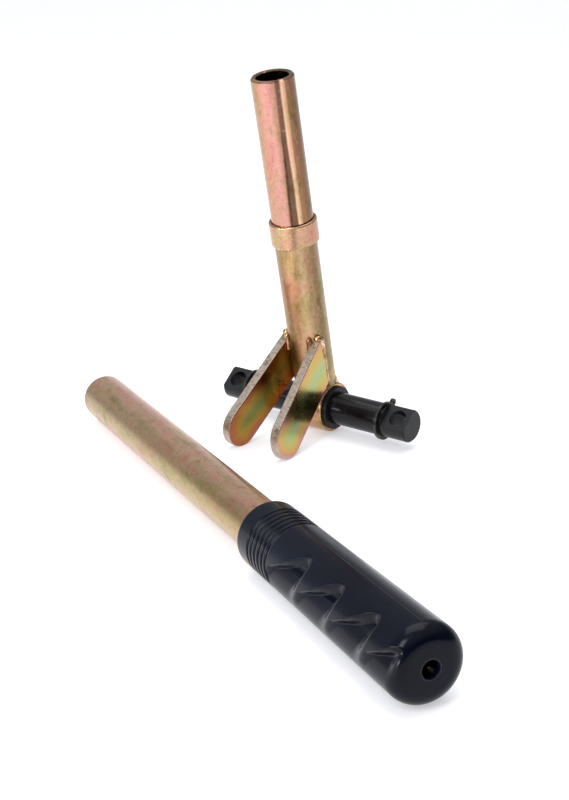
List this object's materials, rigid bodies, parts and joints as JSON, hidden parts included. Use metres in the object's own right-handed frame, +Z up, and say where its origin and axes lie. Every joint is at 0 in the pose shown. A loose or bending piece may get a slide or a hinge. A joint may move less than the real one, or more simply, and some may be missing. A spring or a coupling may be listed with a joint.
{
  "type": "pivoting lever with push-on handle",
  "caption": "Upright spigot tube on a cross hub with a through shaft, two splayed flat lugs and a stop collar, with a loose tubular handle and moulded grip.",
  "frame": {"origin": "centre of the hub, on the cross shaft's axis", "axes": "+X along the cross shaft, -Y towards the lugs, +Z up; the floor is one hub radius below the origin"},
  "size_m": [0.2973, 0.2228, 0.1794],
  "materials": {
    "zinc_tube": "yellow zinc plate on drawn tube, glossy above the collar and satin below it",
    "zinc_collar": "yellow zinc plate on a turned ring, satin",
    "zinc_hub": "yellow zinc plate on turned tube, satin",
    "zinc_plate": "yellow zinc plate with coloured bands on smooth faces and duller sawn edges",
    "zinc_handle": "yellow zinc plate on drawn tube, satin",
    "weld_bead": "rippled weld beads under the same zinc plate",
    "black_shaft": "smooth gloss black, duller on its cut ends",
    "black_bush": "satin black bearing plastic",
    "spring_steel": "dark oiled spring steel",
    "black_grip": "glossy moulded black vinyl"
  },
  "bodies": {
    "lever": {"spigot_tube": "zinc_tube", "stop_collar": "zinc_collar", "collar_weld": "weld_bead", "hub_boss": "zinc_hub", "hub_weld": "weld_bead", "lug_left": "zinc_plate", "lug_right": "zinc_plate", "lug_weld_left": "weld_bead", "lug_weld_right": "weld_bead", "bush_left": "black_bush", "bush_right": "black_bush"},
    "shaft": {"cross_shaft": "black_shaft", "circlip_left": "spring_steel", "circlip_right": "spring_steel"},
    "handle": {"handle_tube": "zinc_handle", "grip": "black_grip"}
  },
  "joints": [
    {"name": "shaft_spin", "type": "hinge", "parent": "lever", "child": "shaft", "pos_m": [0, 0, 0], "axis": [1, 0, 0], "continuous": true},
    {"name": "handle_carry", "type": "hinge", "parent": "lever", "child": "handle", "pos_m": [-0.17105, -0.02987, 0.16821], "axis": [-0.1718, -0.9824, 0.0728], "range_deg": [0, 88]}
  ]
}
